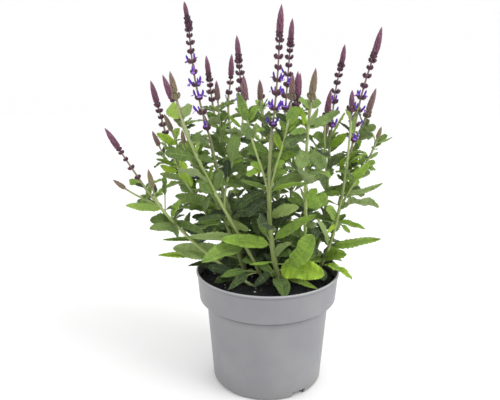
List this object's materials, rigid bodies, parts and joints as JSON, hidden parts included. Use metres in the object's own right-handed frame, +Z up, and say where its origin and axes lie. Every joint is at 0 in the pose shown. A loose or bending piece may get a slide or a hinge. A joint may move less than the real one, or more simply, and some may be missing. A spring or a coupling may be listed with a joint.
{
  "type": "potted perennial salvia",
  "caption": "Upright bushy perennial salvia in flower, with slim purple spikes over toothed leaves, in a round plastic growing pot with a wide rim band.",
  "frame": {"origin": "centre of the pot's underside, on the surface that the pot stands on", "axes": "+Z up the plant, -Y towards the plant's front, +X to the right of someone who faces the front"},
  "size_m": [0.3601, 0.2695, 0.499],
  "materials": {
    "pot": "satin moulded grey plastic",
    "soil": "moist dark potting mix of peat and fine bark",
    "foliage": "matt green stems and rugose leaves, paler beneath",
    "spikes": "matt plum-purple calyces and buds, finely hairy",
    "petals": "violet-blue two-lipped corollas, soft sheen"
  },
  "bodies": {
    "root": {"pot": "pot", "soil": "soil", "stem_left_tall": "foliage", "stem_centre": "foliage", "stem_centre_back": "foliage", "stem_right_tall": "foliage", "stem_right_back": "foliage", "stem_right_front": "foliage", "stem_left_front": "foliage", "stem_far_left": "foliage", "stem_left_back": "foliage", "stem_left_inner": "foliage", "stem_back_left": "foliage", "stem_back_mid": "foliage", "stem_back_right": "foliage", "stem_back_far": "foliage", "spike_left_tall": "spikes", "spike_centre": "spikes", "spike_centre_back": "spikes", "spike_right_tall": "spikes", "spike_right_back": "spikes", "spike_right_front": "spikes", "spike_left_front": "spikes", "spike_far_left": "spikes", "spike_left_back": "spikes", "spike_left_inner": "spikes", "spike_back_left": "spikes", "spike_back_mid": "spikes", "spike_back_right": "spikes", "spike_back_far": "spikes", "spike_left_front_inner": "spikes", "spike_centre_left": "spikes", "spike_centre_right": "spikes", "spike_centre_back_left": "spikes", "spike_centre_back_right": "spikes", "spike_right_back_low": "spikes", "spike_right_tall_front": "spikes", "spike_right_tall_out": "spikes", "spike_right_tall_low": "spikes", "spike_left_back_out": "spikes", "spike_left_back_near": "spikes", "spike_far_left_low": "spikes", "spike_far_left_near": "spikes", "spike_left_inner_low": "spikes", "spike_back_left_near": "spikes", "spike_back_mid_left": "spikes", "spike_back_right_out": "spikes"}
  },
  "joints": []
}
